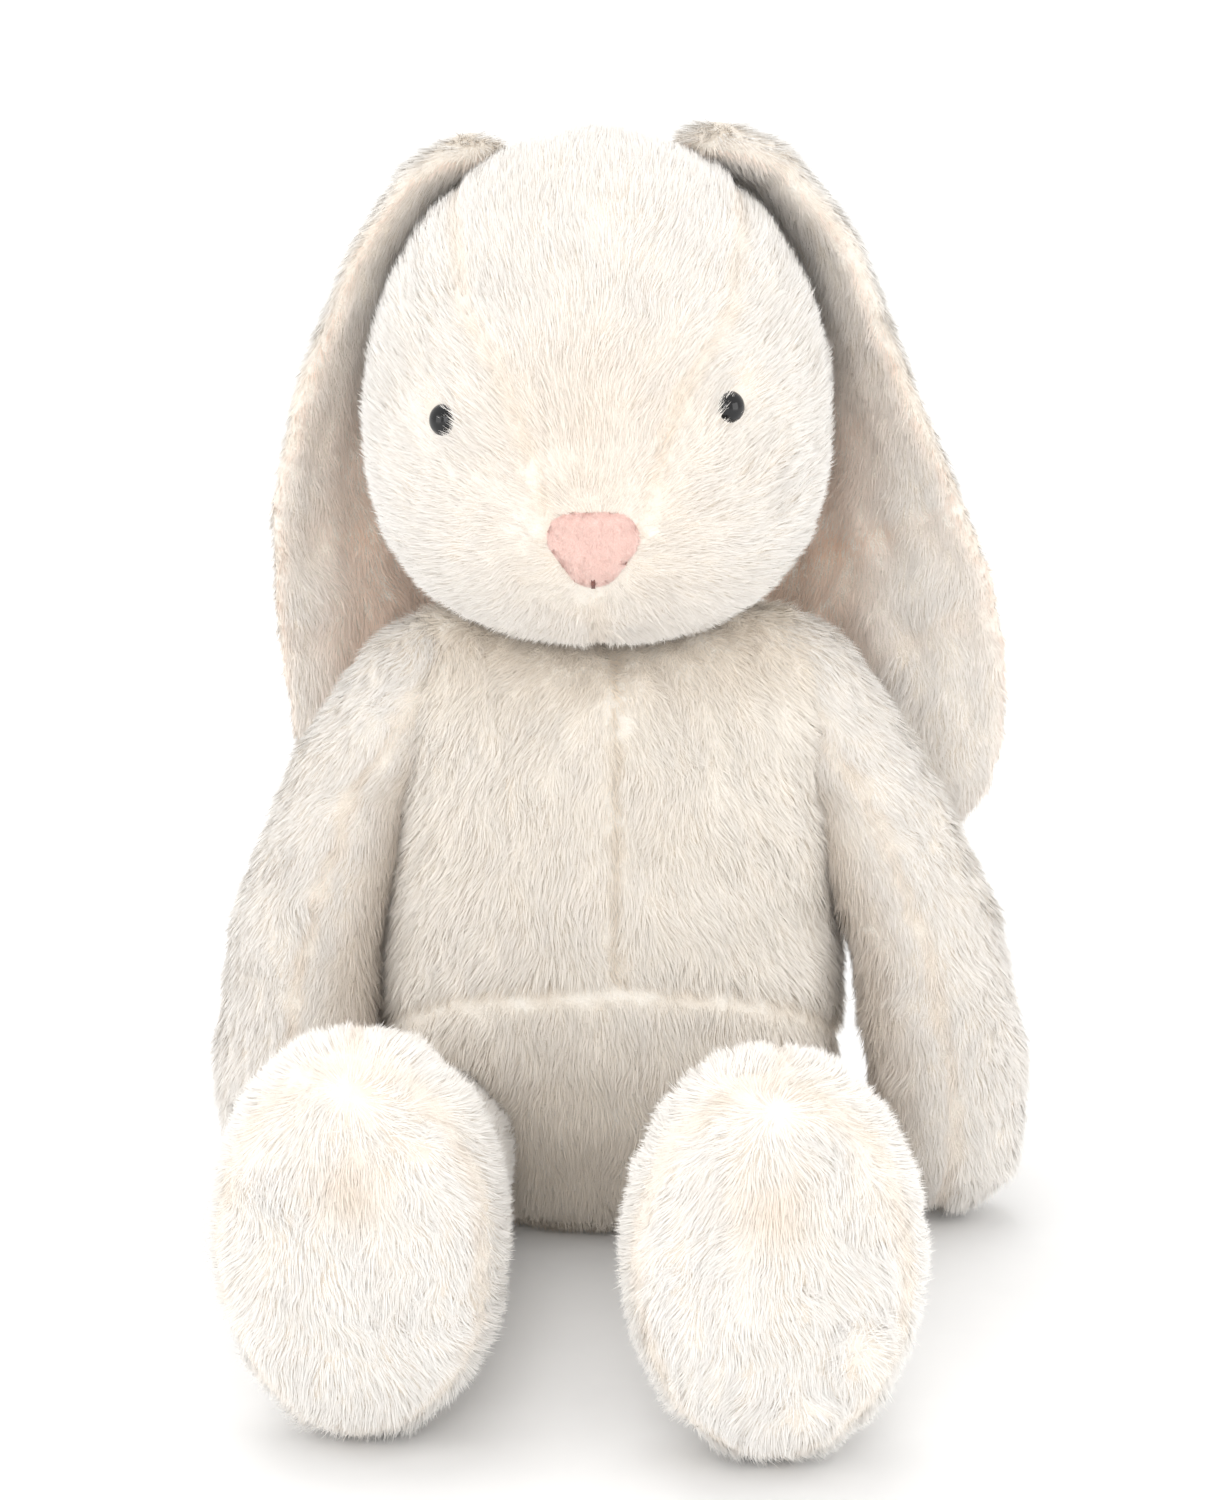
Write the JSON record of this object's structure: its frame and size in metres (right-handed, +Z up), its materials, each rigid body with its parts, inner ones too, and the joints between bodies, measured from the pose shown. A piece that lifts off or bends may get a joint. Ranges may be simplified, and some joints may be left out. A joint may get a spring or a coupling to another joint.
{
  "type": "stuffed bunny rabbit",
  "caption": "Sitting white plush rabbit with long lop ears, black safety eyes, a pink velour nose, hanging arms and big upright feet.",
  "frame": {"origin": "middle of the flat seat, on the floor", "axes": "+Z up; the rabbit faces -Y; its own left side is +X"},
  "size_m": [0.3464, 0.4629, 0.4609],
  "materials": {
    "white_pile": "matte",
    "cream_pile": "matte",
    "ear_lining_pile": "matte",
    "nose_velour": "matte",
    "stitch_thread": "matte",
    "polyester_fill": "matte",
    "pouch_cloth": "matte",
    "eye_plastic": "gloss",
    "washer_plastic": "matte"
  },
  "bodies": {
    "torso": {"body_front_left_panel": "cream_pile", "body_front_right_panel": "cream_pile", "body_back_left_panel": "white_pile", "body_back_right_panel": "white_pile", "seat_panel": "cream_pile", "body_stuffing": "polyester_fill", "bean_pouch": "pouch_cloth", "tail_cover": "white_pile", "tail_stuffing": "polyester_fill"},
    "head": {"head_gusset": "white_pile", "cheek_left_panel": "white_pile", "cheek_right_panel": "white_pile", "nape_left_panel": "white_pile", "nape_right_panel": "white_pile", "head_stuffing": "polyester_fill", "nose_patch": "nose_velour", "mouth_stitch": "stitch_thread", "eye_left": "eye_plastic", "eye_right": "eye_plastic", "eye_washer_left": "washer_plastic", "eye_washer_right": "washer_plastic"},
    "ear_left": {"ear_left_outer": "white_pile", "ear_left_lining": "ear_lining_pile"},
    "arm_left": {"arm_left_outer_panel": "white_pile", "arm_left_inner_panel": "white_pile", "arm_left_stuffing": "polyester_fill"},
    "leg_left": {"leg_left_outer_panel": "white_pile", "leg_left_inner_panel": "white_pile", "sole_left_panel": "white_pile", "leg_left_stuffing": "polyester_fill"},
    "ear_right": {"ear_right_outer": "white_pile", "ear_right_lining": "ear_lining_pile"},
    "arm_right": {"arm_right_outer_panel": "white_pile", "arm_right_inner_panel": "white_pile", "arm_right_stuffing": "polyester_fill"},
    "leg_right": {"leg_right_outer_panel": "white_pile", "leg_right_inner_panel": "white_pile", "sole_right_panel": "white_pile", "leg_right_stuffing": "polyester_fill"}
  },
  "joints": [
    {"name": "head_nod", "type": "hinge", "parent": "torso", "child": "head", "pos_m": [-0.003, 0.004, 0.25], "axis": [1, 0, 0], "range_deg": [-6, 14], "stiffness_Nm_per_rad": 2},
    {"name": "ear_left_lift", "type": "hinge", "parent": "head", "child": "ear_left", "pos_m": [0.028, 0.008, 0.453], "axis": [0.309, -0.9511, 0], "range_deg": [0, 100]},
    {"name": "ear_right_lift", "type": "hinge", "parent": "head", "child": "ear_right", "pos_m": [-0.044, 0.008, 0.45], "axis": [0.309, 0.9511, 0], "range_deg": [0, 100]},
    {"name": "arm_left_swing", "type": "hinge", "parent": "torso", "child": "arm_left", "pos_m": [0.072, 0, 0.231], "axis": [-0.9063, -0.4226, 0], "range_deg": [0, 75]},
    {"name": "arm_right_swing", "type": "hinge", "parent": "torso", "child": "arm_right", "pos_m": [-0.074, 0, 0.229], "axis": [-0.9063, 0.4226, 0], "range_deg": [0, 75]},
    {"name": "leg_left_lift", "type": "hinge", "parent": "torso", "child": "leg_left", "pos_m": [0.07, -0.076, 0.042], "axis": [-0.9989, 0.0471, 0], "range_deg": [-55, 30], "stiffness_Nm_per_rad": 4},
    {"name": "leg_right_lift", "type": "hinge", "parent": "torso", "child": "leg_right", "pos_m": [-0.07, -0.054, 0.042], "axis": [-0.9956, 0.0941, 0], "range_deg": [-55, 30], "stiffness_Nm_per_rad": 4}
  ]
}
